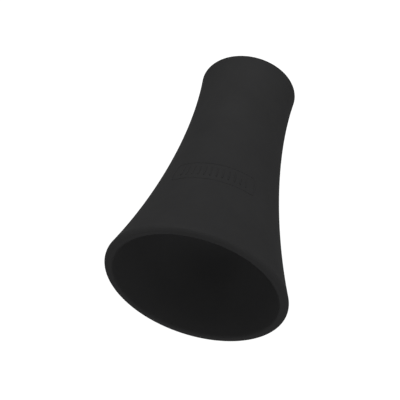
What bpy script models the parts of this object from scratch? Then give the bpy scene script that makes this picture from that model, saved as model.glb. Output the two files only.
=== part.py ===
"""Flexible snoot for a round light head: a flared silicone tube, wide at the mouth that goes on
the light and narrow at the exit, with a honeycomb grid that pulls out of the exit.

Frame: the origin is the centre of the mouth's face, +Y runs along the beam towards the exit,
and +Z is up. Every piece is modelled about its own Z, with z counted from the mouth's face,
and hangs on an empty that turns that Z onto the frame's +Y.
"""

from math import atan2, cos, pi, radians, sin, sqrt

import bmesh
import bpy
import numpy as np
from mathutils import Matrix, Vector

# ---- Driving dimensions, in metres ----
MOUTH_RADIUS = 0.0458        # of the round shape that the mouth's oval is drawn from
OVAL = 0.042                 # the mouth is this share narrower and taller than round
OVAL_LEAN = 36.3             # degrees from +Z towards -X that the oval's long way leans
LENGTH = 0.1385
EXIT_RADIUS = 0.0269
WALL = 0.0034
GAP = 0.0003                 # clearance between neighbouring pieces
SEGMENTS = 48                # facets around every turned piece

# The outer flare is one cubic curve: each end's slope is against the beam axis, and its reach
# says how far the curve holds that slope. The tube is narrowest a little behind the exit.
MOUTH_SLOPE = 19.5           # degrees
MOUTH_REACH = 0.0356
EXIT_SLOPE = -4.8            # degrees
EXIT_REACH = 0.0488
FLARE_STEPS = 14

# Lip at the mouth, with a channel in its face for the magnets
LIP_OUTER_ROUND = 0.0018
LIP_INNER_ROUND = 0.0010
LIP_WALL = 0.0053
LIP_FADE = (0.006, 0.030)    # the wall thins from LIP_WALL to WALL between these two depths
CHANNEL_INNER = 0.0415
CHANNEL_OUTER = 0.0439
SEAT_RING_DEPTH = 0.0007
MAGNET_SIZE = (0.0016, 0.008, 0.002)
MAGNET_COUNT = 12
KEEPER_DEPTH = 0.0005

# Exit: a bore for the collar, with a groove that locks the collar's rib
EXIT_EDGE_ROUND = 0.0010
BORE_EDGE_ROUND = 0.0006
BORE_RADIUS = 0.0235
BORE_DEPTH = 0.021
RIB_HEIGHT = 0.0009
RIB_HALF_WIDTH = 0.0012
RIB_FROM_EXIT = 0.014
COLLAR_BORE = 0.0213
COLLAR_STOP_RADIUS = 0.0200
COLLAR_STOP_DEPTH = 0.0022

# Grid cartridge, a push fit in the collar
FLANGE_FROM_EXIT = 0.0006
FLANGE_DEPTH = 0.0014
FLANGE_RADIUS = 0.0230
FRAME_LENGTH = 0.0166
FRAME_INNER_RADIUS = 0.0189
FRAME_LIP_RADIUS = 0.0179
NOTCH_COUNT = 3
NOTCH_RADIUS = 0.0019
O_RING_FROM_EXIT = 0.009
O_RING_SECTION = 0.0005      # radius of the ring's own round section
GRID_DEPTH = 0.012
CELL_PITCH = 0.0045          # from the centre of one cell to the next
CELL_WALL = 0.0004
GRID_RIM = 0.0005
SNAP_RING_SECTION = 0.0006   # radius of the wire
SNAP_GROOVE_DEPTH = 0.0007
SNAP_RING_OPENING = 24       # degrees left open between the wire's ends

# ---- Sizes that follow from them ----
BORE_START = LENGTH - BORE_DEPTH
CHANNEL_MIDDLE = (CHANNEL_INNER + CHANNEL_OUTER) / 2
MAGNET_TOP = SEAT_RING_DEPTH + GAP
KEEPER_TOP = MAGNET_TOP + MAGNET_SIZE[2] + GAP
CHANNEL_DEPTH = KEEPER_TOP + KEEPER_DEPTH + GAP
COLLAR_RADIUS = BORE_RADIUS - GAP
COLLAR_END = LENGTH - FLANGE_FROM_EXIT - FLANGE_DEPTH - GAP
FRAME_TOP = LENGTH - FLANGE_FROM_EXIT
FRAME_BOTTOM = FRAME_TOP - FRAME_LENGTH
FRAME_RADIUS = COLLAR_BORE - GAP
FLANGE_UNDERSIDE = FRAME_TOP - FLANGE_DEPTH
GRID_RADIUS = FRAME_INNER_RADIUS - GAP
GRID_TOP = FLANGE_UNDERSIDE - GAP
GRID_BOTTOM = GRID_TOP - GRID_DEPTH
O_RING_RADIUS = FRAME_RADIUS + GAP / 3 - O_RING_SECTION
SNAP_RING_RADIUS = FRAME_INNER_RADIUS + SNAP_GROOVE_DEPTH - GAP - SNAP_RING_SECTION
SNAP_RING_LEVEL = GRID_BOTTOM - GAP - SNAP_RING_SECTION


# ---- Profiles, as (radius, depth) points that run down the outside and up the inside ----
def arc(centre, radius, start, end, steps=3):
    """Points on an arc, from one angle to another, in degrees from the radial direction."""
    angles = [radians(start + (end - start) * i / steps) for i in range(steps + 1)]
    return [(centre[0] + radius * cos(a), centre[1] + radius * sin(a)) for a in angles]


def flare():
    """The outer surface, from the exit's rounded edge to the lip's."""
    start = (EXIT_RADIUS, LENGTH - EXIT_EDGE_ROUND)
    end = arc((MOUTH_RADIUS - LIP_OUTER_ROUND, LIP_OUTER_ROUND), LIP_OUTER_ROUND, MOUTH_SLOPE, 0)[0]
    lean_out, lean_in = radians(EXIT_SLOPE), radians(MOUTH_SLOPE)
    first = (start[0] + EXIT_REACH * sin(lean_out), start[1] - EXIT_REACH * cos(lean_out))
    second = (end[0] - MOUTH_REACH * sin(lean_in), end[1] + MOUTH_REACH * cos(lean_in))
    points = []
    for i in range(FLARE_STEPS + 1):
        t = i / FLARE_STEPS
        shares = ((1 - t) ** 3, 3 * t * (1 - t) ** 2, 3 * t * t * (1 - t), t ** 3)
        corners = (start, first, second, end)
        points.append(tuple(sum(s * c[k] for s, c in zip(shares, corners)) for k in (0, 1)))
    return points


def inner_radius(depth, outer):
    """Radius of the inside: the outer radius less a wall that thins away from the lip."""
    depths = [z for _, z in reversed(outer)]
    radii = [r for r, _ in reversed(outer)]
    start, end = LIP_FADE
    t = min(max((depth - start) / (end - start), 0), 1)
    wall = LIP_WALL + (WALL - LIP_WALL) * t * t * (3 - 2 * t)
    return float(np.interp(depth, depths, radii)) - wall


def body_profile():
    outer = flare()
    lean = radians(MOUTH_SLOPE)
    roll_end = LIP_INNER_ROUND * (1 - sin(lean))
    roll_centre = inner_radius(roll_end, outer) + LIP_INNER_ROUND * cos(lean)
    inner = [(inner_radius(z, outer), z) for _, z in reversed(outer) if roll_end < z < BORE_START]
    groove_level = LENGTH - RIB_FROM_EXIT
    groove_half = RIB_HALF_WIDTH + GAP
    groove_radius = BORE_RADIUS + RIB_HEIGHT
    return [
        *arc((EXIT_RADIUS - EXIT_EDGE_ROUND, LENGTH - EXIT_EDGE_ROUND), EXIT_EDGE_ROUND, 90, 0)[:-1],
        *outer[:-1],
        *arc((MOUTH_RADIUS - LIP_OUTER_ROUND, LIP_OUTER_ROUND), LIP_OUTER_ROUND, MOUTH_SLOPE, -90),
        (CHANNEL_OUTER, 0),
        (CHANNEL_OUTER, CHANNEL_DEPTH),
        (CHANNEL_INNER, CHANNEL_DEPTH),
        (CHANNEL_INNER, 0),
        *arc((roll_centre, LIP_INNER_ROUND), LIP_INNER_ROUND, -90, MOUTH_SLOPE - 180),
        *inner[1:],
        (inner_radius(BORE_START, outer), BORE_START),
        (BORE_RADIUS, BORE_START),
        (BORE_RADIUS, groove_level - groove_half),
        (groove_radius, groove_level - groove_half),
        (groove_radius, groove_level + groove_half),
        (BORE_RADIUS, groove_level + groove_half),
        *arc((BORE_RADIUS + BORE_EDGE_ROUND, LENGTH - BORE_EDGE_ROUND), BORE_EDGE_ROUND, 180, 90),
    ]


def band_profile(inner, outer, low, high):
    """A plain flat ring."""
    return [(outer, high), (outer, low), (inner, low), (inner, high)]


def collar_profile():
    bottom = BORE_START + GAP
    rib_level = LENGTH - RIB_FROM_EXIT
    rib_radius = COLLAR_RADIUS + RIB_HEIGHT
    stop_top = bottom + COLLAR_STOP_DEPTH
    return [
        (COLLAR_RADIUS, COLLAR_END),
        (COLLAR_RADIUS, rib_level + RIB_HALF_WIDTH),
        (rib_radius, rib_level + RIB_HALF_WIDTH / 3),
        (rib_radius, rib_level - RIB_HALF_WIDTH),
        (COLLAR_RADIUS, rib_level - RIB_HALF_WIDTH),
        (COLLAR_RADIUS, bottom),
        (COLLAR_STOP_RADIUS + GAP, bottom),
        (COLLAR_STOP_RADIUS, bottom + GAP),
        (COLLAR_STOP_RADIUS, stop_top),
        (COLLAR_BORE, stop_top),
        (COLLAR_BORE, COLLAR_END - GAP),
        (COLLAR_BORE + GAP, COLLAR_END),
    ]


def grid_frame_profile():
    ring_level = LENGTH - O_RING_FROM_EXIT
    ring_half = O_RING_SECTION + GAP
    ring_floor = O_RING_RADIUS - O_RING_SECTION - GAP
    snap_half = SNAP_RING_SECTION + GAP
    snap_floor = FRAME_INNER_RADIUS + SNAP_GROOVE_DEPTH
    return [
        (FLANGE_RADIUS - GAP, FRAME_TOP),
        (FLANGE_RADIUS, FRAME_TOP - GAP),
        (FLANGE_RADIUS, FLANGE_UNDERSIDE),
        (FRAME_RADIUS, FLANGE_UNDERSIDE),
        (FRAME_RADIUS, ring_level + ring_half),
        (ring_floor, ring_level + ring_half),
        (ring_floor, ring_level - ring_half),
        (FRAME_RADIUS, ring_level - ring_half),
        (FRAME_RADIUS, FRAME_BOTTOM + GAP),
        (FRAME_RADIUS - GAP, FRAME_BOTTOM),
        (FRAME_INNER_RADIUS, FRAME_BOTTOM),
        (FRAME_INNER_RADIUS, SNAP_RING_LEVEL - snap_half),
        (snap_floor, SNAP_RING_LEVEL - snap_half),
        (snap_floor, SNAP_RING_LEVEL + snap_half),
        (FRAME_INNER_RADIUS, SNAP_RING_LEVEL + snap_half),
        (FRAME_INNER_RADIUS, FLANGE_UNDERSIDE),
        (FRAME_LIP_RADIUS, FLANGE_UNDERSIDE),
        (FRAME_LIP_RADIUS, FRAME_TOP - GAP),
        (FRAME_LIP_RADIUS + GAP, FRAME_TOP),
    ]


# ---- Building blocks ----
def new_collection(name):
    collection = bpy.data.collections.new(name)
    bpy.context.scene.collection.children.link(collection)
    return collection


def new_material(name, colour, roughness, metallic=0.0):
    material = bpy.data.materials.new(name)
    material.use_nodes = True
    shader = material.node_tree.nodes["Principled BSDF"]
    shader.inputs["Base Color"].default_value = (*colour, 1)
    shader.inputs["Roughness"].default_value = roughness
    shader.inputs["Metallic"].default_value = metallic
    return material


def add_object(name, data, parent, material, collection):
    obj = bpy.data.objects.new(name, data)
    obj.parent = parent
    if material and not data.materials:
        data.materials.append(material)
    collection.objects.link(obj)
    return obj


def add_guide(name, data, parent, collection):
    """A shape that only works on other pieces, and is never a piece itself."""
    guide = add_object(name, data, parent, None, collection)
    guide.hide_render = True
    guide.display_type = "WIRE"
    return guide


def turned(name, profile, parent, material, collection):
    """A closed profile turned a full circle about its parent's Z."""
    mesh = bpy.data.meshes.new(name)
    count = len(profile)
    edges = [(i, (i + 1) % count) for i in range(count)]
    mesh.from_pydata([(r, 0, z) for r, z in profile], edges, [])
    obj = add_object(name, mesh, parent, material, collection)
    screw = obj.modifiers.new("turn", "SCREW")
    screw.axis = "Z"
    screw.angle = 2 * pi
    screw.steps = screw.render_steps = SEGMENTS
    screw.use_merge_vertices = True
    screw.merge_threshold = 0.00001
    screw.use_smooth_shade = True
    return obj


def prisms(name, centres, radius, low, high, sides):
    """One mesh of upright prisms, one at each (x, y) centre, each with a corner towards +Y."""
    mesh = bpy.data.meshes.new(name)
    shape = bmesh.new()
    for x, y in centres:
        made = bmesh.ops.create_cone(
            shape, cap_ends=True, segments=sides, radius1=radius, radius2=radius, depth=high - low
        )
        bmesh.ops.translate(shape, verts=made["verts"], vec=(x, y, (low + high) / 2))
    shape.to_mesh(mesh)
    shape.free()
    return mesh


def boolean(obj, tool, operation):
    modifier = obj.modifiers.new(tool.name, "BOOLEAN")
    modifier.operation = operation
    modifier.solver = "EXACT"
    modifier.object = tool


def oval_guide(parent, collection):
    """A cage that draws the mouth in to an oval and leaves the tube round from the bore on."""
    cage = bpy.data.lattices.new("oval_guide")
    cage.points_u = cage.points_v = cage.points_w = 2
    cage.interpolation_type_u = "KEY_LINEAR"
    cage.interpolation_type_v = "KEY_LINEAR"
    cage.interpolation_type_w = "KEY_LINEAR"
    for point in cage.points:
        x, y, z = point.co
        if z < 0:
            point.co_deform = (x * (1 - OVAL), y * (1 + OVAL), z)
    guide = add_guide("oval_guide", cage, parent, collection)
    guide.location = (0, 0, BORE_START / 2)
    guide.rotation_euler.z = -radians(OVAL_LEAN)
    guide.scale = (3 * MOUTH_RADIUS, 3 * MOUTH_RADIUS, BORE_START)
    return guide


def make_oval(obj, guide):
    modifier = obj.modifiers.new("oval", "LATTICE")
    modifier.object = guide


# ---- Sub-parts ----
def build_mouth(parent, guide, silicone, steel, nickel, parts):
    body = turned("snoot_body", body_profile(), parent, silicone, parts)
    seat = turned(
        "lip_seat_ring",
        band_profile(CHANNEL_INNER + GAP, CHANNEL_OUTER - GAP, 0, SEAT_RING_DEPTH),
        parent, silicone, parts,
    )
    keeper = turned(
        "lip_keeper_ring",
        band_profile(CHANNEL_INNER + GAP, CHANNEL_OUTER - GAP, KEEPER_TOP, KEEPER_TOP + KEEPER_DEPTH),
        parent, steel, parts,
    )
    for ring in (body, seat, keeper):
        make_oval(ring, guide)

    mesh = bpy.data.meshes.new("lip_magnet")
    block = bmesh.new()
    bmesh.ops.create_cube(block, size=1, matrix=Matrix.Diagonal((*MAGNET_SIZE, 1)))
    block.to_mesh(mesh)
    block.free()
    level = MAGNET_TOP + MAGNET_SIZE[2] / 2
    fade = 1 - level / BORE_START
    across = CHANNEL_MIDDLE * (1 - OVAL * fade)
    along = CHANNEL_MIDDLE * (1 + OVAL * fade)
    lean = Matrix.Rotation(-radians(OVAL_LEAN), 3, "Z")
    for i in range(MAGNET_COUNT):
        angle = 2 * pi * (i + 0.5) / MAGNET_COUNT
        magnet = add_object(f"lip_magnet_{i + 1:02d}", mesh, parent, nickel, parts)
        magnet.location = lean @ Vector((across * cos(angle), along * sin(angle), level))
        magnet.rotation_euler.z = atan2(across * sin(angle), along * cos(angle)) - radians(OVAL_LEAN)


def cell_centres():
    """Centres of a honeycomb's cells, without those of which the rim would leave only a sliver."""
    limit = GRID_RADIUS - GRID_RIM - CELL_PITCH * 0.12
    reach = int(GRID_RADIUS / CELL_PITCH) + 2
    centres = []
    for row in range(-reach, reach + 1):
        for column in range(-reach, reach + 1):
            x = CELL_PITCH * (column + (row % 2) / 2)
            y = CELL_PITCH * row * sqrt(3) / 2
            if x * x + y * y < limit * limit:
                centres.append((x, y))
    return centres


def build_grid(parent, black_plastic, black_metal, rubber, steel, parts, guides):
    frame = turned("grid_frame", grid_frame_profile(), parent, black_plastic, parts)
    angles = [2 * pi * i / NOTCH_COUNT + pi / 2 for i in range(NOTCH_COUNT)]
    corners = [(FLANGE_RADIUS * cos(a), FLANGE_RADIUS * sin(a)) for a in angles]
    notches = add_guide(
        "flange_notches",
        prisms("flange_notches", corners, NOTCH_RADIUS, FLANGE_UNDERSIDE - GAP, LENGTH, 16),
        parent, guides,
    )
    boolean(frame, notches, "DIFFERENCE")

    rim = add_guide(
        "honeycomb_rim",
        prisms("honeycomb_rim", [(0, 0)], GRID_RADIUS - GRID_RIM, 0, 2 * LENGTH, SEGMENTS),
        parent, guides,
    )
    cell_radius = (CELL_PITCH - CELL_WALL) / sqrt(3)
    cells = add_guide(
        "honeycomb_cells",
        prisms("honeycomb_cells", cell_centres(), cell_radius, GRID_BOTTOM - GAP, LENGTH, 6),
        parent, guides,
    )
    boolean(cells, rim, "INTERSECT")
    honeycomb = add_object(
        "honeycomb_core",
        prisms("honeycomb_core", [(0, 0)], GRID_RADIUS, GRID_BOTTOM, GRID_TOP, SEGMENTS),
        parent, black_metal, parts,
    )
    boolean(honeycomb, cells, "DIFFERENCE")

    o_ring_level = LENGTH - O_RING_FROM_EXIT
    section = arc((O_RING_RADIUS, o_ring_level), O_RING_SECTION, 90, -270, 8)[:-1]
    turned("grid_friction_ring", section, parent, rubber, parts)

    wire = bpy.data.curves.new("grid_snap_ring", "CURVE")
    wire.dimensions = "3D"
    wire.bevel_depth = SNAP_RING_SECTION
    wire.bevel_resolution = 2
    wire.use_fill_caps = True
    line = wire.splines.new("POLY")
    steps = 44
    line.points.add(steps)
    for i, point in enumerate(line.points):
        angle = radians(90 + SNAP_RING_OPENING / 2 + (360 - SNAP_RING_OPENING) * i / steps)
        point.co = (SNAP_RING_RADIUS * cos(angle), SNAP_RING_RADIUS * sin(angle), SNAP_RING_LEVEL, 1)
    add_object("grid_snap_ring", wire, parent, steel, parts)


def main():
    for obj in list(bpy.data.objects):
        bpy.data.objects.remove(obj)
    parts = new_collection("snoot")
    guides = new_collection("guides")

    silicone = new_material("silicone", (0.028, 0.028, 0.029), 0.62)
    nickel = new_material("nickel", (0.62, 0.60, 0.56), 0.22, 1.0)
    steel = new_material("spring_steel", (0.45, 0.45, 0.46), 0.30, 1.0)
    black_plastic = new_material("black_nylon", (0.020, 0.020, 0.021), 0.50)
    black_metal = new_material("black_anodised", (0.035, 0.035, 0.038), 0.38, 0.8)
    rubber = new_material("rubber", (0.015, 0.015, 0.015), 0.70)

    axis = bpy.data.objects.new("beam_axis", None)
    axis.rotation_euler.x = -pi / 2
    parts.objects.link(axis)
    slide = bpy.data.objects.new("grid_slide_axis", None)
    slide.parent = axis
    parts.objects.link(slide)

    build_mouth(axis, oval_guide(axis, guides), silicone, steel, nickel, parts)
    turned("exit_collar", collar_profile(), axis, black_plastic, parts)
    build_grid(slide, black_plastic, black_metal, rubber, steel, parts, guides)


main()
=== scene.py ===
"""Looks for the flexible snoot: the silicone body, its magnetic lip and the honeycomb grid,
on a white studio sweep.

+Y runs from the mouth to the exit and +Z is up. Every profile is a list of (radius, depth)
points, where depth is counted from the mouth's face along +Y.
"""

from math import atan2, cos, hypot, pi, radians, sin, sqrt

import bmesh
import bpy
import numpy as np
from mathutils import Matrix, Vector


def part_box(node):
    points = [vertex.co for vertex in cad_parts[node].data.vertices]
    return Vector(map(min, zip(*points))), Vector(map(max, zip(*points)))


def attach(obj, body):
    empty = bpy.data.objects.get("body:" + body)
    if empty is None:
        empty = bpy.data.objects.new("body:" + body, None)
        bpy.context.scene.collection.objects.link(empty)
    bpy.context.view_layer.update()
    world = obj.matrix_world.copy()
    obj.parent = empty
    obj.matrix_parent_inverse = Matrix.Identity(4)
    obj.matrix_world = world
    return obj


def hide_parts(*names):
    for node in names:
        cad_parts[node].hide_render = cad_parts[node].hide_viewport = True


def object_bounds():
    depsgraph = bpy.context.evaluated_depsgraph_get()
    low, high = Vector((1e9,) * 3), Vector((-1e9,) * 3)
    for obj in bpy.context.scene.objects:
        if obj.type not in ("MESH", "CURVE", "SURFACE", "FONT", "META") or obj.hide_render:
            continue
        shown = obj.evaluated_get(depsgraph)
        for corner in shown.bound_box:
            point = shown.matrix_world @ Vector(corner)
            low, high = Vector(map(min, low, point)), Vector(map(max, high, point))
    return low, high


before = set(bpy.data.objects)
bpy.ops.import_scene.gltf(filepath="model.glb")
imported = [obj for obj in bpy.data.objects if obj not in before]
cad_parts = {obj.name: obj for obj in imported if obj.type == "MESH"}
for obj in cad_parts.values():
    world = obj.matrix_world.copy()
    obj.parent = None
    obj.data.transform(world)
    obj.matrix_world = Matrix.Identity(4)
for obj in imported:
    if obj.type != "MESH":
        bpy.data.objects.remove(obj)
cad_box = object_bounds()
BODY = "snoot"
CARTRIDGE = "grid_cartridge"

# ---- The tube's sizes, in metres ----
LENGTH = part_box("snoot_body")[1].y
MOUTH_RADIUS = 0.04589       # of the round shape that the mouth's oval is drawn from
OVAL = 0.042                 # the mouth is this share narrower and taller than round
OVAL_LEAN = radians(36.3)
EXIT_RADIUS = 0.0269
WALL = 0.0034
LIP_WALL = 0.00505
LIP_FADE = (0.004, 0.030)    # the wall thins from LIP_WALL to WALL between these depths
MOUTH_SLOPE = radians(19.5)
EXIT_SLOPE = radians(-4.8)
MOUTH_REACH = 0.03635
EXIT_REACH = 0.0488
FLARE_STEPS = 110
TUBE_SEGMENTS = 288

# Lip: a roll from the shoulder outside, over the crest, to the roll's end inside
FLARE_START = 0.0019
SHOULDER = 0.0026
ROLL_END = 0.0030
CREST = 0.04255
SHOULDER_REACH = 0.0016
CREST_REACH_OUT = 0.0025
CREST_REACH_IN = 0.0014
ROLL_REACH = 0.0014
CHANNEL = (0.0415, 0.0439)   # radii of the magnets' channel
CHANNEL_DEPTH = 0.0041
FACING_DEPTH = 0.0007
JOINT_LINE = 0.00003

# Exit: a bore with a groove for the sleeve's rib
EXIT_EDGE = 0.0010
BORE_EDGE = 0.0006
BORE_START = LENGTH - 0.021
BORE_RADIUS = 0.0235
RIB_DEPTH = LENGTH - 0.014
GROOVE_HEIGHT = 0.0009
GROOVE_HALF = 0.0015

# ---- The exit's sleeve and the grid cartridge, in metres ----
SLEEVE_TOP = LENGTH - 0.0023
SLEEVE_CLEARANCE = 0.00005
SLEEVE_BORE = 0.0213
SLEEVE_STOP_RADIUS = 0.0200
SLEEVE_STOP_HEIGHT = 0.0024
RIB_HEIGHT = 0.0008
RIB_HALF = 0.0012
RIB_FLAT = 0.0004            # the rib slopes between this and RIB_HALF on its exit side

RIM_TOP = LENGTH - 0.0006
FLANGE_UNDER = LENGTH - 0.0020
RIM_LENGTH = 0.0166
FLANGE_RADIUS = 0.0230
RIM_OUTER = 0.0210
RIM_INNER = 0.0189
WINDOW_RADIUS = 0.0179
NOTCH_COUNT = 3
NOTCH_RADIUS = 0.0019
O_RING_DEPTH = LENGTH - 0.009
O_RING_SEAT = 0.0198
O_RING_SEAT_HALF = 0.0006
O_RING_RADIUS = 0.0206
O_RING_SECTION = 0.0005
SNAP_GROOVE_DEPTH = LENGTH - 0.0152
SNAP_GROOVE = 0.0007         # how deep the groove is cut, and half its width
SNAP_WIRE = 0.0006
SNAP_RADIUS = 0.0187
SNAP_OPENING = 24            # degrees left open between the wire's ends

HONEYCOMB_RADIUS = 0.0186
CELL_PITCH = 0.0045
FOIL_WALL = 0.00016
CELL_SEAM = 0.00002          # gap between the foil of neighbouring cells
BAND_WALL = 0.00025

# ---- The badge, in metres ----
BADGE_DEPTH = 0.0466         # of its middle, from the mouth
BADGE_HALF_WIDE = 0.0215
BADGE_HALF_TALL = 0.0060
BADGE_CORNER = 0.0024
BADGE_SINK = 0.00015         # how far each bead's centre lies under the surface
BADGE_FRAME_BEAD = 0.00040
BADGE_RIB_BEAD = 0.00042
BADGE_RIBS = 12
BADGE_RIB_PITCH = 0.0030
BADGE_RIB_LENGTH = 0.0064


# ---- Curves ----
def cubic(a, b, c, d, steps):
    """Points on a cubic curve, both ends included."""
    out = []
    for i in range(steps + 1):
        t = i / steps
        k = ((1 - t) ** 3, 3 * t * (1 - t) ** 2, 3 * t * t * (1 - t), t ** 3)
        out.append(tuple(sum(s * p[j] for s, p in zip(k, (a, b, c, d))) for j in (0, 1)))
    return out


def arc(centre, radius, start, end, steps):
    """Points on an arc, in degrees from the radial direction, as (radius, depth)."""
    angles = [radians(start + (end - start) * i / steps) for i in range(steps + 1)]
    return [(centre[0] + radius * cos(a), centre[1] + radius * sin(a)) for a in angles]


def rounded(points, radius, steps=4):
    """A closed (radius, depth) outline with each corner rounded, as far as its sides allow."""
    out = []
    count = len(points)
    for i in range(count):
        p = Vector(points[i])
        before, after = Vector(points[i - 1]) - p, Vector(points[(i + 1) % count]) - p
        cut = min(radius, 0.45 * before.length, 0.45 * after.length)
        a, b = p + before.normalized() * cut, p + after.normalized() * cut
        for k in range(steps + 1):
            t = k / steps
            q = a * (1 - t) ** 2 + p * (2 * t * (1 - t)) + b * t * t
            out.append((q.x, q.y))
    return out


# ---- The tube's surfaces ----
EXIT_END = (EXIT_RADIUS, LENGTH - EXIT_EDGE)
MOUTH_END = (MOUTH_RADIUS, FLARE_START)
FLARE = cubic(
    EXIT_END,
    (EXIT_END[0] + EXIT_REACH * sin(EXIT_SLOPE), EXIT_END[1] - EXIT_REACH * cos(EXIT_SLOPE)),
    (MOUTH_END[0] - MOUTH_REACH * sin(MOUTH_SLOPE), MOUTH_END[1] + MOUTH_REACH * cos(MOUTH_SLOPE)),
    MOUTH_END,
    FLARE_STEPS,
)
FLARE_DEPTHS = [z for _, z in reversed(FLARE)]
FLARE_RADII = [r for r, _ in reversed(FLARE)]


def outer_radius(depth):
    return float(np.interp(depth, FLARE_DEPTHS, FLARE_RADII))


def inner_radius(depth):
    start, end = LIP_FADE
    t = min(max((depth - start) / (end - start), 0), 1)
    return outer_radius(depth) - (LIP_WALL + (WALL - LIP_WALL) * t * t * (3 - 2 * t))


def along_mouth(point, reach):
    """A point moved towards the mouth along the mouth's slope."""
    return (point[0] + reach * sin(MOUTH_SLOPE), point[1] - reach * cos(MOUTH_SLOPE))


LIP_START = (outer_radius(SHOULDER), SHOULDER)
LIP_END = (inner_radius(ROLL_END), ROLL_END)
LIP_CREST = (CREST, 0)
LIP_OUTSIDE = cubic(
    LIP_START, along_mouth(LIP_START, SHOULDER_REACH), (CREST + CREST_REACH_OUT, 0), LIP_CREST, 18
)
LIP_INSIDE = cubic(
    LIP_CREST, (CREST - CREST_REACH_IN, 0), along_mouth(LIP_END, ROLL_REACH), LIP_END, 16
)
LIP_FRONT = LIP_OUTSIDE + LIP_INSIDE[1:]


def lip_depth(radius):
    """Depth of the lip's rolled front at a radius."""
    front = sorted(LIP_FRONT)
    return float(np.interp(radius, [r for r, _ in front], [z for _, z in front]))


def oval_share(depth, inside):
    """How much of the mouth's oval is left: it fades out by the exit, or by the bore inside."""
    return min(max(1 - depth / (BORE_START if inside else LENGTH), 0), 1)


def place(radius, depth, angle, share):
    """A point on a tube whose section is an oval that leans over, for an angle from +X to +Z."""
    a = angle - OVAL_LEAN
    across = radius * (1 - OVAL * share) * cos(a)
    along = radius * (1 + OVAL * share) * sin(a)
    return Vector((
        across * cos(OVAL_LEAN) - along * sin(OVAL_LEAN),
        depth,
        across * sin(OVAL_LEAN) + along * cos(OVAL_LEAN),
    ))


# ---- Mesh building ----
def finish_mesh(name, shape, material, body, replaces=(), slot=None):
    mesh = bpy.data.meshes.new(name)
    bmesh.ops.recalc_face_normals(shape, faces=shape.faces)
    shape.to_mesh(mesh)
    shape.free()
    for face in mesh.polygons:
        face.use_smooth = True
    mesh.materials.append(material)
    obj = bpy.data.objects.new(name, mesh)
    bpy.context.scene.collection.objects.link(obj)
    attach(obj, body)
    if replaces:
        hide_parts(*replaces)
    return obj


def turned(name, profile, material, body, segments=192, shares=None, angles=None, shape_at=None, **more):
    """A closed (radius, depth) profile turned about +Y, optionally oval or shaped by angle."""
    angles = angles or [2 * pi * i / segments for i in range(segments)]
    shape = bmesh.new()
    rings = []
    for angle in angles:
        ring = []
        for i, (radius, depth) in enumerate(profile):
            if shape_at:
                radius = shape_at(radius, depth, angle)
            share = shares[i] if shares else 0
            ring.append(shape.verts.new(place(radius, depth, angle, share)))
        rings.append(ring)
    for i, ring in enumerate(rings):
        following = rings[(i + 1) % len(rings)]
        for j in range(len(ring)):
            k = (j + 1) % len(ring)
            shape.faces.new((ring[j], ring[k], following[k], following[j]))
    obj = finish_mesh(name, shape, material, body, **more)
    obj.data.set_sharp_from_angle(angle=radians(38))
    return obj


# ---- Node helpers ----
class Shader:
    """A small builder for one material's node tree."""

    def __init__(self, name):
        self.material = bpy.data.materials.new(name)
        self.material.use_nodes = True
        self.tree = self.material.node_tree
        self.surface = self.tree.nodes["Principled BSDF"]
        self.where = self.node("ShaderNodeTexCoord").outputs["Object"]

    def node(self, kind, **settings):
        made = self.tree.nodes.new(kind)
        for key, value in settings.items():
            setattr(made, key, value)
        return made

    def link(self, source, target):
        self.tree.links.new(source, target)

    def set(self, **values):
        for key, value in values.items():
            self.surface.inputs[key.replace("_", " ")].default_value = value

    def noise(self, scale, detail=2.0, roughness=0.5, stretch=None):
        texture = self.node("ShaderNodeTexNoise")
        texture.inputs["Scale"].default_value = scale
        texture.inputs["Detail"].default_value = detail
        texture.inputs["Roughness"].default_value = roughness
        where = self.where
        if stretch:
            mapping = self.node("ShaderNodeMapping")
            mapping.inputs["Scale"].default_value = stretch
            self.link(where, mapping.inputs["Vector"])
            where = mapping.outputs["Vector"]
        self.link(where, texture.inputs["Vector"])
        return texture.outputs["Fac"]

    def cells(self, scale):
        texture = self.node("ShaderNodeTexVoronoi")
        texture.inputs["Scale"].default_value = scale
        self.link(self.where, texture.inputs["Vector"])
        return texture.outputs["Distance"]

    def spread(self, value, low, high, from_low=0.3, from_high=0.7):
        """Maps a value onto a range."""
        ranged = self.node("ShaderNodeMapRange")
        ranged.inputs["From Min"].default_value = from_low
        ranged.inputs["From Max"].default_value = from_high
        ranged.inputs["To Min"].default_value = low
        ranged.inputs["To Max"].default_value = high
        self.link(value, ranged.inputs["Value"])
        return ranged.outputs["Result"]

    def tint(self, value, low, high):
        """A colour that runs from low to high with a value."""
        mix = self.node("ShaderNodeMix", data_type="RGBA")
        mix.inputs["A"].default_value = (*low, 1)
        mix.inputs["B"].default_value = (*high, 1)
        self.link(value, mix.inputs["Factor"])
        return mix.outputs["Result"]

    def add(self, a, b):
        total = self.node("ShaderNodeMath", operation="ADD")
        self.link(a, total.inputs[0])
        self.link(b, total.inputs[1])
        return total.outputs[0]

    def bump(self, height, distance, strength=1.0):
        bump = self.node("ShaderNodeBump")
        bump.inputs["Distance"].default_value = distance
        bump.inputs["Strength"].default_value = strength
        self.link(height, bump.inputs["Height"])
        self.link(bump.outputs["Normal"], self.surface.inputs["Normal"])


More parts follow.
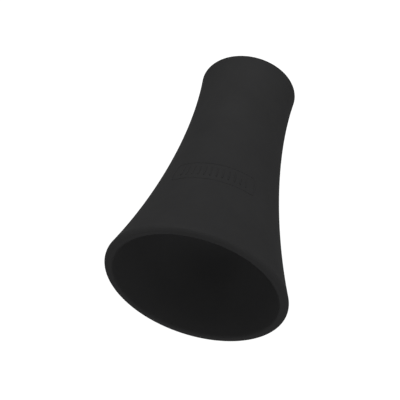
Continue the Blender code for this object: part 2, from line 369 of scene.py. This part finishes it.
def silicone():
    """Matte black silicone: a fine moulded grain, faint handling marks and a little settled dust."""
    s = Shader("black_silicone")
    s.set(Specular_IOR_Level=0.10)
    clouds = s.spread(s.noise(38, 4.0, 0.6), 0, 1)
    dust = s.spread(s.noise(2600, 2.0, 0.7), 0, 1, 0.70, 0.82)
    base = s.tint(clouds, (0.0199, 0.0199, 0.0203), (0.0223, 0.0223, 0.0227))
    speck = s.node("ShaderNodeMix", data_type="RGBA")
    speck.inputs["B"].default_value = (0.060, 0.060, 0.058, 1)
    s.link(base, speck.inputs["A"])
    share = s.node("ShaderNodeMath", operation="MULTIPLY")
    share.inputs[1].default_value = 0.35
    s.link(dust, share.inputs[0])
    s.link(share.outputs[0], speck.inputs["Factor"])
    s.link(speck.outputs["Result"], s.surface.inputs["Base Color"])
    s.link(s.spread(s.noise(60, 5.0, 0.62), 0.66, 0.78), s.surface.inputs["Roughness"])
    grain = s.add(s.noise(2200, 3.0, 0.6), s.spread(s.noise(320, 2.0), 0, 0.5))
    s.bump(grain, 0.00003, 0.55)
    return s.material


def nylon():
    """Black moulded nylon with a fine spark-eroded texture."""
    s = Shader("black_nylon")
    s.set(Specular_IOR_Level=0.5)
    clouds = s.spread(s.noise(55, 4.0), 0, 1)
    s.link(s.tint(clouds, (0.014, 0.014, 0.015), (0.022, 0.022, 0.023)), s.surface.inputs["Base Color"])
    s.link(s.spread(s.noise(130, 4.0), 0.36, 0.5), s.surface.inputs["Roughness"])
    s.bump(s.cells(2600), 0.00004, 0.4)
    return s.material


def rubber():
    """Soft black rubber, a little chalky."""
    s = Shader("black_rubber")
    s.set(Specular_IOR_Level=0.35, Sheen_Weight=0.15)
    chalk = s.spread(s.noise(260, 4.0), 0, 1)
    s.link(s.tint(chalk, (0.010, 0.010, 0.010), (0.030, 0.030, 0.029)), s.surface.inputs["Base Color"])
    s.link(s.spread(s.noise(420, 3.0), 0.6, 0.8), s.surface.inputs["Roughness"])
    s.bump(s.noise(3200, 2.0), 0.00003, 0.5)
    return s.material


def anodised():
    """Black anodised aluminium foil with rolling lines along the beam."""
    s = Shader("black_anodised_foil")
    s.set(Metallic=0.85)
    lines = s.spread(s.noise(700, 3.0, stretch=(1, 0.05, 1)), 0, 1)
    s.link(s.tint(lines, (0.020, 0.020, 0.023), (0.055, 0.056, 0.062)), s.surface.inputs["Base Color"])
    s.link(s.spread(s.noise(240, 3.0), 0.30, 0.46), s.surface.inputs["Roughness"])
    s.bump(s.noise(1500, 2.0, stretch=(1, 0.04, 1)), 0.00002, 0.4)
    return s.material


def spring_steel():
    """Bright drawn steel with fine lines."""
    s = Shader("bright_spring_steel")
    s.set(Metallic=1.0)
    clouds = s.spread(s.noise(420, 3.0), 0, 1)
    s.link(s.tint(clouds, (0.40, 0.40, 0.41), (0.56, 0.56, 0.57)), s.surface.inputs["Base Color"])
    s.link(s.spread(s.noise(900, 3.0, stretch=(1, 6, 1)), 0.20, 0.36), s.surface.inputs["Roughness"])
    s.bump(s.noise(2600, 2.0, stretch=(1, 8, 1)), 0.00001, 0.35)
    return s.material


def nickel():
    """Nickel plate, slightly warm, with tumbling marks."""
    s = Shader("nickel_plate")
    s.set(Metallic=1.0)
    clouds = s.spread(s.noise(300, 3.0), 0, 1)
    s.link(s.tint(clouds, (0.58, 0.55, 0.50), (0.70, 0.68, 0.63)), s.surface.inputs["Base Color"])
    s.link(s.spread(s.noise(800, 4.0), 0.14, 0.30), s.surface.inputs["Roughness"])
    s.bump(s.noise(1900, 3.0), 0.00001, 0.3)
    return s.material


SILICONE = silicone()
NYLON = nylon()
RUBBER = rubber()
FOIL = anodised()
STEEL = spring_steel()
NICKEL = nickel()


# ---- The silicone body ----
def build_body():
    inner_depths = [ROLL_END + (BORE_START - ROLL_END) * (i / 60) ** 1.15 for i in range(1, 61)]
    outside = [
        *arc((EXIT_RADIUS - EXIT_EDGE, LENGTH - EXIT_EDGE), EXIT_EDGE, 90, 0, 8)[:-1],
        *[p for p in FLARE if p[1] > SHOULDER + 0.0003],
        *[p for p in LIP_OUTSIDE if p[0] > CHANNEL[1]],
        (CHANNEL[1], lip_depth(CHANNEL[1])),
        (CHANNEL[1], CHANNEL_DEPTH),
    ]
    inside = [
        (CHANNEL[0], CHANNEL_DEPTH),
        (CHANNEL[0], lip_depth(CHANNEL[0])),
        *[p for p in LIP_INSIDE if p[0] < CHANNEL[0]],
        *[(inner_radius(z), z) for z in inner_depths],
        (BORE_RADIUS, BORE_START),
        (BORE_RADIUS, RIB_DEPTH - GROOVE_HALF),
        (BORE_RADIUS + GROOVE_HEIGHT, RIB_DEPTH - GROOVE_HALF),
        (BORE_RADIUS + GROOVE_HEIGHT, RIB_DEPTH + GROOVE_HALF),
        (BORE_RADIUS, RIB_DEPTH + GROOVE_HALF),
        *arc((BORE_RADIUS + BORE_EDGE, LENGTH - BORE_EDGE), BORE_EDGE, 180, 90, 6),
    ]
    shares = [oval_share(z, False) for _, z in outside] + [oval_share(z, True) for _, z in inside]
    turned(
        "snoot_skin", outside + inside, SILICONE, BODY, segments=TUBE_SEGMENTS, shares=shares,
        replaces=["snoot_body"], slot="silicone",
    )


def build_seat_ring():
    """The facing over the magnets, flush with the lip's roll."""
    low, high = CHANNEL[0] + JOINT_LINE, CHANNEL[1] - JOINT_LINE
    steps = 10
    front = [high + (low - high) * i / steps for i in range(steps + 1)]
    profile = [(high, FACING_DEPTH), *[(r, lip_depth(r)) for r in front], (low, FACING_DEPTH)]
    shares = [oval_share(z, True) for _, z in profile]
    turned(
        "lip_facing", profile, SILICONE, BODY, segments=TUBE_SEGMENTS, shares=shares,
        replaces=["lip_seat_ring"], slot="silicone",
    )


def surface_point(angle, depth, lift):
    """A point on or above the outer surface: angle from +Z towards +X, in radians."""
    def on_surface(depth, at):
        return place(outer_radius(depth), depth, at, oval_share(depth, False))

    at = pi / 2 - angle
    here = on_surface(depth, at)
    side = on_surface(depth, at + 0.01) - here
    ahead = on_surface(depth + 0.001, at) - here
    normal = side.cross(ahead).normalized()
    if normal.dot(Vector((here.x, 0, here.z))) < 0:
        normal = -normal
    return here + normal * lift


def bead(name, points, thickness, closed):
    """A raised line of silicone along points on the surface, moulded in one with it."""
    line = bpy.data.curves.new(name, "CURVE")
    line.dimensions = "3D"
    line.bevel_depth = thickness
    line.bevel_resolution = 3
    line.use_fill_caps = True
    spline = line.splines.new("POLY")
    spline.points.add(len(points) - 1)
    for p, q in zip(spline.points, points):
        p.co = (*q, 1)
    spline.use_cyclic_u = closed
    line.materials.append(SILICONE)
    obj = bpy.data.objects.new(name, line)
    bpy.context.scene.collection.objects.link(obj)
    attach(obj, BODY)
    return obj


def build_panel():
    """A plain raised badge on top: a rounded frame round a row of short ribs."""
    radius = outer_radius(BADGE_DEPTH)

    def on_panel(x, y):
        return surface_point(x / radius, BADGE_DEPTH + y, -BADGE_SINK)

    outline = []
    for cx, cy, start in ((1, 1, 0), (-1, 1, 90), (-1, -1, 180), (1, -1, 270)):
        for i in range(9):
            a = radians(start + 90 * i / 8)
            x = cx * (BADGE_HALF_WIDE - BADGE_CORNER) + BADGE_CORNER * cos(a)
            y = cy * (BADGE_HALF_TALL - BADGE_CORNER) + BADGE_CORNER * sin(a)
            outline.append((x, y))
    dense = []
    for i, (x, y) in enumerate(outline):
        x2, y2 = outline[(i + 1) % len(outline)]
        steps = max(1, int(hypot(x2 - x, y2 - y) / 0.0008))
        dense += [(x + (x2 - x) * k / steps, y + (y2 - y) * k / steps) for k in range(steps)]
    bead("badge_frame", [on_panel(x, y) for x, y in dense], BADGE_FRAME_BEAD, True)
    for i in range(BADGE_RIBS):
        x = (i - (BADGE_RIBS - 1) / 2) * BADGE_RIB_PITCH
        line = [on_panel(x, -BADGE_RIB_LENGTH / 2 + BADGE_RIB_LENGTH * k / 6) for k in range(7)]
        bead(f"badge_rib_{i + 1:02d}", line, BADGE_RIB_BEAD, False)


# ---- The exit's sleeve and the grid cartridge ----
def build_collar():
    outer, bottom = BORE_RADIUS - SLEEVE_CLEARANCE, BORE_START + SLEEVE_CLEARANCE
    profile = rounded([
        (outer, SLEEVE_TOP),
        (outer, RIB_DEPTH + RIB_HALF),
        (outer + RIB_HEIGHT, RIB_DEPTH + RIB_FLAT),
        (outer + RIB_HEIGHT, RIB_DEPTH - RIB_HALF),
        (outer, RIB_DEPTH - RIB_HALF),
        (outer, bottom),
        (SLEEVE_STOP_RADIUS, bottom),
        (SLEEVE_STOP_RADIUS, bottom + SLEEVE_STOP_HEIGHT),
        (SLEEVE_BORE, bottom + SLEEVE_STOP_HEIGHT),
        (SLEEVE_BORE, SLEEVE_TOP),
    ], 0.0003)
    turned("exit_sleeve", profile, NYLON, BODY, replaces=["exit_collar"], slot="black_nylon")


def build_cartridge():
    bottom = RIM_TOP - RIM_LENGTH
    profile = rounded([
        (FLANGE_RADIUS, RIM_TOP),
        (FLANGE_RADIUS, FLANGE_UNDER),
        (RIM_OUTER, FLANGE_UNDER),
        (RIM_OUTER, O_RING_DEPTH + O_RING_SEAT_HALF),
        (O_RING_SEAT, O_RING_DEPTH + O_RING_SEAT_HALF),
        (O_RING_SEAT, O_RING_DEPTH - O_RING_SEAT_HALF),
        (RIM_OUTER, O_RING_DEPTH - O_RING_SEAT_HALF),
        (RIM_OUTER, bottom),
        (RIM_INNER, bottom),
        (RIM_INNER, SNAP_GROOVE_DEPTH - SNAP_GROOVE),
        (RIM_INNER + SNAP_GROOVE, SNAP_GROOVE_DEPTH - SNAP_GROOVE),
        (RIM_INNER + SNAP_GROOVE, SNAP_GROOVE_DEPTH + SNAP_GROOVE),
        (RIM_INNER, SNAP_GROOVE_DEPTH + SNAP_GROOVE),
        (RIM_INNER, FLANGE_UNDER),
        (WINDOW_RADIUS, FLANGE_UNDER),
        (WINDOW_RADIUS, RIM_TOP),
    ], 0.00028)
    notches = [pi / 2 + 2 * pi * i / NOTCH_COUNT for i in range(NOTCH_COUNT)]

    def notched(radius, depth, angle):
        """The flange's edge, cut back to a notch's circle where one crosses it."""
        if depth < FLANGE_UNDER - 0.00005 or radius < RIM_OUTER + 0.0001:
            return radius
        for centre in notches:
            turn = abs(atan2(sin(angle - centre), cos(angle - centre)))
            across = FLANGE_RADIUS * sin(turn)
            if turn < 0.2 and across < NOTCH_RADIUS:
                return min(radius, FLANGE_RADIUS * cos(turn) - sqrt(NOTCH_RADIUS ** 2 - across ** 2))
        return radius

    angles = {2 * pi * i / 192 for i in range(192)}
    for centre in notches:
        angles |= {(centre + radians(d / 4)) % (2 * pi) for d in range(-24, 25)}
    turned(
        "grid_rim", profile, NYLON, CARTRIDGE, angles=sorted(angles), shape_at=notched,
        replaces=["grid_frame"], slot="black_nylon",
    )
    ring = arc((O_RING_RADIUS, O_RING_DEPTH), O_RING_SECTION, 90, -270, 16)[:-1]
    turned("grid_o_ring", ring, RUBBER, CARTRIDGE, replaces=["grid_friction_ring"], slot="rubber")


def build_honeycomb():
    """Thin foil cells, cut to a disc by the band of foil round them."""
    low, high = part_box("honeycomb_core")[0].y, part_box("honeycomb_core")[1].y
    shape = bmesh.new()
    reach = int(HONEYCOMB_RADIUS / CELL_PITCH) + 2
    wide, tight = (CELL_PITCH - CELL_SEAM) / sqrt(3), (CELL_PITCH - FOIL_WALL) / sqrt(3)

    def hexagon(x, z, radius, depth):
        corners = [radians(30 + 60 * k) for k in range(6)]
        return [shape.verts.new((x + radius * cos(a), depth, z + radius * sin(a))) for a in corners]

    for row in range(-reach, reach + 1):
        for column in range(-reach, reach + 1):
            x = CELL_PITCH * (column + (row % 2) / 2)
            z = CELL_PITCH * row * sqrt(3) / 2
            if hypot(x, z) > HONEYCOMB_RADIUS + CELL_PITCH * 0.45:
                continue
            rings = [
                hexagon(x, z, wide, high),
                hexagon(x, z, wide, low),
                hexagon(x, z, tight, low),
                hexagon(x, z, tight, high),
            ]
            for a, b in zip(rings, rings[1:] + rings[:1]):
                for k in range(6):
                    shape.faces.new((a[k], a[(k + 1) % 6], b[(k + 1) % 6], b[k]))
    cells = finish_mesh(
        "honeycomb", shape, FOIL, CARTRIDGE, replaces=["honeycomb_core"], slot="black_anodised",
    )
    for face in cells.data.polygons:
        face.use_smooth = False

    drum = bmesh.new()
    drum_radius = HONEYCOMB_RADIUS - 0.0001
    bmesh.ops.create_cone(
        drum, cap_ends=True, segments=128, radius1=drum_radius, radius2=drum_radius, depth=0.05,
    )
    bmesh.ops.rotate(drum, verts=drum.verts, cent=(0, 0, 0), matrix=Matrix.Rotation(pi / 2, 3, "X"))
    bmesh.ops.translate(drum, verts=drum.verts, vec=(0, (low + high) / 2, 0))
    mesh = bpy.data.meshes.new("honeycomb_cutter")
    drum.to_mesh(mesh)
    drum.free()
    cutter = bpy.data.objects.new("honeycomb_cutter", mesh)
    bpy.context.scene.collection.objects.link(cutter)
    trim = cells.modifiers.new("trim", "BOOLEAN")
    trim.operation = "INTERSECT"
    trim.solver = "EXACT"
    trim.object = cutter
    graph = bpy.context.evaluated_depsgraph_get()
    trimmed = bpy.data.meshes.new_from_object(cells.evaluated_get(graph))
    cells.modifiers.clear()
    cells.data = trimmed
    bpy.data.objects.remove(cutter)

    inner = HONEYCOMB_RADIUS - BAND_WALL
    corners = [(HONEYCOMB_RADIUS, high), (HONEYCOMB_RADIUS, low), (inner, low), (inner, high)]
    turned("honeycomb_band", rounded(corners, 0.00008, 2), FOIL, CARTRIDGE, slot="black_anodised")


def build_snap_ring():
    """A split ring of round wire in the frame's inner groove, open at the bottom."""
    line = bpy.data.curves.new("snap_ring", "CURVE")
    line.dimensions = "3D"
    line.bevel_depth = SNAP_WIRE
    line.bevel_resolution = 5
    line.use_fill_caps = True
    spline = line.splines.new("POLY")
    steps = 120
    spline.points.add(steps)
    depth = sum(corner.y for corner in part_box("grid_snap_ring")) / 2
    for i, point in enumerate(spline.points):
        angle = radians(-90 + SNAP_OPENING / 2 + (360 - SNAP_OPENING) * i / steps)
        point.co = (SNAP_RADIUS * cos(angle), depth, SNAP_RADIUS * sin(angle), 1)
    line.materials.append(STEEL)
    obj = bpy.data.objects.new("snap_ring", line)
    bpy.context.scene.collection.objects.link(obj)
    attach(obj, CARTRIDGE)
    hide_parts("grid_snap_ring")


def dress_cad_nodes():
    """Better materials for the magnets and the keeper ring, which keep their CAD shapes."""
    for name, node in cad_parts.items():
        if name.startswith("lip_magnet"):
            material = NICKEL
        elif name == "lip_keeper_ring":
            material = STEEL
        else:
            continue
        for slot in node.material_slots:
            slot.material = material


# ---- Stage ----
WORLD_GREY = 0.288
SWEEP_RADIUS = 3.0
FLOOR_HALF = 3.0
FLOOR_GAP = 0.0008           # between the floor and the lowest point of the part
AIM = (0, 0.05, 0)           # where the studio lights point
STUDIO_LIGHTS = (            # name, place, width and height, power in watts
    ("overhead", (-0.10, 0.35, 0.95), (0.9, 0.9), 8.45),
    ("front_left", (-0.70, -0.75, 0.10), (0.6, 0.8), 3.6),
    ("front_right", (0.70, -0.75, 0.10), (0.6, 0.8), 3.75),
    ("side", (1.0, 0.10, 0.25), (0.8, 0.8), 1.55),
)
CAMERA_AZIMUTH = radians(12.53)
CAMERA_ELEVATION = radians(51.41)
CAMERA_PLACE = (0.05330, -0.22912, 0.36399)
CAMERA_LENS = 81             # millimetres


def area_light(name, location, target, size, power):
    light = bpy.data.lights.new(name, "AREA")
    light.shape = "RECTANGLE"
    light.size, light.size_y = size
    light.energy = power
    obj = bpy.data.objects.new(name, light)
    obj.location = location
    obj.rotation_euler = (Vector(target) - Vector(location)).to_track_quat("-Z", "Y").to_euler()
    bpy.context.scene.collection.objects.link(obj)
    return obj


def camera_only(obj):
    """Seen by the camera, without lighting the object or showing in its gloss."""
    obj.visible_diffuse = False
    obj.visible_glossy = False
    obj.visible_transmission = False
    obj.visible_shadow = False


def white_sweep():
    """Plain white that looks evenly lit from anywhere."""
    white = bpy.data.materials.new("white_sweep")
    white.use_nodes = True
    surface = white.node_tree.nodes["Principled BSDF"]
    surface.inputs["Base Color"].default_value = (0.10, 0.10, 0.10, 1)
    surface.inputs["Roughness"].default_value = 0.9
    surface.inputs["Specular IOR Level"].default_value = 0.0
    surface.inputs["Emission Color"].default_value = (1, 1, 1, 1)
    surface.inputs["Emission Strength"].default_value = 1.0
    return white


def build_stage():
    """A pale floor inside a white sweep, under broad soft lights in an even grey world."""
    world = bpy.data.worlds.new("studio")
    bpy.context.scene.world = world
    world.use_nodes = True
    background = world.node_tree.nodes["Background"]
    background.inputs["Color"].default_value = (WORLD_GREY, WORLD_GREY, WORLD_GREY, 1)
    background.inputs["Strength"].default_value = 1.0

    floor, sweep = bmesh.new(), bmesh.new()
    bmesh.ops.create_grid(floor, x_segments=8, y_segments=8, size=FLOOR_HALF)
    bmesh.ops.translate(floor, verts=floor.verts, vec=(0, 0, cad_box[0].z - FLOOR_GAP))
    bmesh.ops.create_uvsphere(sweep, u_segments=48, v_segments=24, radius=SWEEP_RADIUS)
    white = white_sweep()
    for name, shape in (("floor", floor), ("sweep", sweep)):
        mesh = bpy.data.meshes.new(name)
        shape.to_mesh(mesh)
        shape.free()
        mesh.materials.append(white)
        obj = bpy.data.objects.new(name, mesh)
        bpy.context.scene.collection.objects.link(obj)
        camera_only(obj)

    for name, location, size, power in STUDIO_LIGHTS:
        area_light(name, location, AIM, size, power)
    lamp = area_light("inside", (0, 0.100, 0), (0, 0, -0.01), (0.02, 0.02), 0.0495)
    lamp.visible_camera = False
    lamp.visible_glossy = False


def build_camera():
    """A short telephoto, high and a little to the right of the mouth."""
    camera = bpy.data.cameras.new("camera")
    camera.lens = CAMERA_LENS
    camera.sensor_width = 36
    camera.clip_start, camera.clip_end = 0.01, 50
    obj = bpy.data.objects.new("camera", camera)
    ahead = Vector((
        -sin(CAMERA_AZIMUTH) * cos(CAMERA_ELEVATION),
        cos(CAMERA_AZIMUTH) * cos(CAMERA_ELEVATION),
        -sin(CAMERA_ELEVATION),
    ))
    obj.location = CAMERA_PLACE
    obj.rotation_euler = ahead.to_track_quat("-Z", "Y").to_euler()
    bpy.context.scene.collection.objects.link(obj)
    bpy.context.scene.camera = obj


bpy.context.scene.view_settings.view_transform = "Standard"
build_stage()
build_camera()
build_body()
build_seat_ring()
build_panel()
build_collar()
build_cartridge()
build_honeycomb()
build_snap_ring()
dress_cad_nodes()
